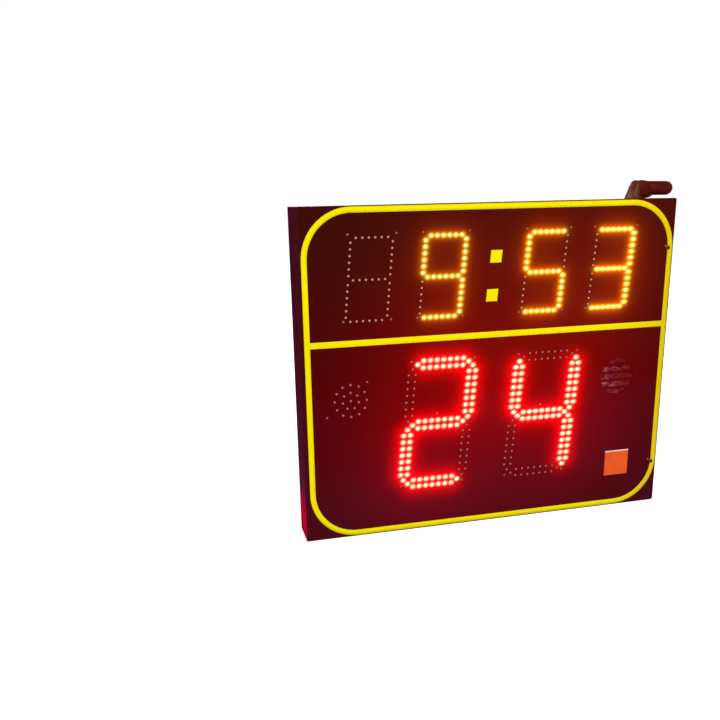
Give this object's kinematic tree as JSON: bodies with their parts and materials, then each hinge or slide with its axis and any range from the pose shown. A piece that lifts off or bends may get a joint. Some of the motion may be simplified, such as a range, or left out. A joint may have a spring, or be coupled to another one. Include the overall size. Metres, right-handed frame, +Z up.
{
  "type": "shot clock",
  "caption": "Flat LED shot clock in a slim metal case: amber game time above, red shot time below, with a horn grille, a folding aerial and rear mounting rails.",
  "frame": {"origin": "middle of the case's underside, which rests on the floor", "axes": "-Y is the display face, +X is the viewer's right when facing the display, +Z is up"},
  "size_m": [0.7273, 0.093, 0.6334],
  "materials": {
    "panel": "dark maroon, semi-gloss sheet",
    "case": "dark maroon gloss paint on aluminium profile",
    "zinc": "bright zinc plate",
    "supply": "bare aluminium cage",
    "screw": "blackened steel",
    "print": "yellow printed film",
    "label": "plain orange printed film",
    "led_unlit": "unlit clear LEDs in a dark block",
    "led_amber": "amber LEDs in a dark block, lit",
    "led_red": "red LEDs in a dark block, lit",
    "board": "green solder mask on circuit board",
    "horn": "polished horn",
    "wire": "grey cable sheath",
    "black_plastic": "moulded black plastic",
    "rocker": "red rocker",
    "button": "red button cap",
    "brass": "plated brass",
    "aerial": "dark moulded rubber"
  },
  "bodies": {
    "case": {"front_panel": "panel", "frame_left": "case", "frame_right": "case", "frame_top": "case", "frame_bottom": "case", "corner_bracket_top_left": "zinc", "corner_bracket_top_right": "zinc", "corner_bracket_bottom_left": "zinc", "corner_bracket_bottom_right": "zinc", "back_panel": "case", "mounting_rail_left": "zinc", "mounting_rail_right": "zinc", "panel_screw_upper": "screw", "panel_screw_lower": "screw", "border_stripe": "print", "colon_upper": "print", "colon_lower": "print", "front_label": "label", "amber_digit_1": "led_unlit", "amber_board_1": "board", "amber_digit_2": "led_amber", "amber_board_2": "board", "amber_digit_3": "led_amber", "amber_board_3": "board", "amber_digit_4": "led_amber", "amber_board_4": "board", "red_digit_1": "led_red", "red_board_1": "board", "red_digit_2": "led_red", "red_board_2": "board", "lamp_cluster": "led_unlit", "lamp_board": "board", "horn": "horn", "horn_strap": "zinc", "control_board": "board", "radio_board": "board", "power_supply": "supply", "amber_harness": "wire", "red_harness": "wire", "lamp_lead": "wire", "horn_lead": "wire", "dc_lead": "wire", "mains_lead": "wire", "aerial_coax": "wire", "service_plate": "zinc", "power_inlet": "black_plastic", "switch_bezel": "black_plastic", "channel_switch": "black_plastic", "button_housing": "zinc", "aerial_bush": "brass", "aerial_nut": "brass"},
    "aerial_foot": {"aerial_foot": "aerial", "aerial_pin": "screw"},
    "aerial_arm": {"aerial_arm": "aerial"},
    "rocker": {"switch_rocker": "rocker"},
    "fuse_drawer": {"fuse_drawer": "black_plastic"},
    "channel_knob": {"channel_knob": "black_plastic"},
    "test_button": {"test_button": "button"}
  },
  "joints": [
    {"name": "aerial_turn", "type": "hinge", "parent": "case", "child": "aerial_foot", "pos_m": [0.291, -0.003, 0.6], "axis": [0, 0, 1], "range_deg": [-180, 180]},
    {"name": "aerial_fold", "type": "hinge", "parent": "aerial_foot", "child": "aerial_arm", "pos_m": [0.296, -0.003, 0.619], "axis": [0, -1, 0], "range_deg": [0, 90]},
    {"name": "power_switch", "type": "hinge", "parent": "case", "child": "rocker", "pos_m": [-0.1188, 0.032, 0.092], "axis": [1, 0, 0], "range_deg": [-18, 0]},
    {"name": "fuse_drawer_slide", "type": "slide", "parent": "case", "child": "fuse_drawer", "axis": [0, 1, 0], "range_m": [0, 0.018]},
    {"name": "channel_select", "type": "hinge", "parent": "case", "child": "channel_knob", "pos_m": [-0.0788, 0.036, 0.092], "axis": [0, 1, 0], "range_deg": [0, 324]},
    {"name": "test_press", "type": "slide", "parent": "case", "child": "test_button", "axis": [0, -1, 0], "range_m": [0, 0.0025], "stiffness_N_per_m": 600}
  ]
}
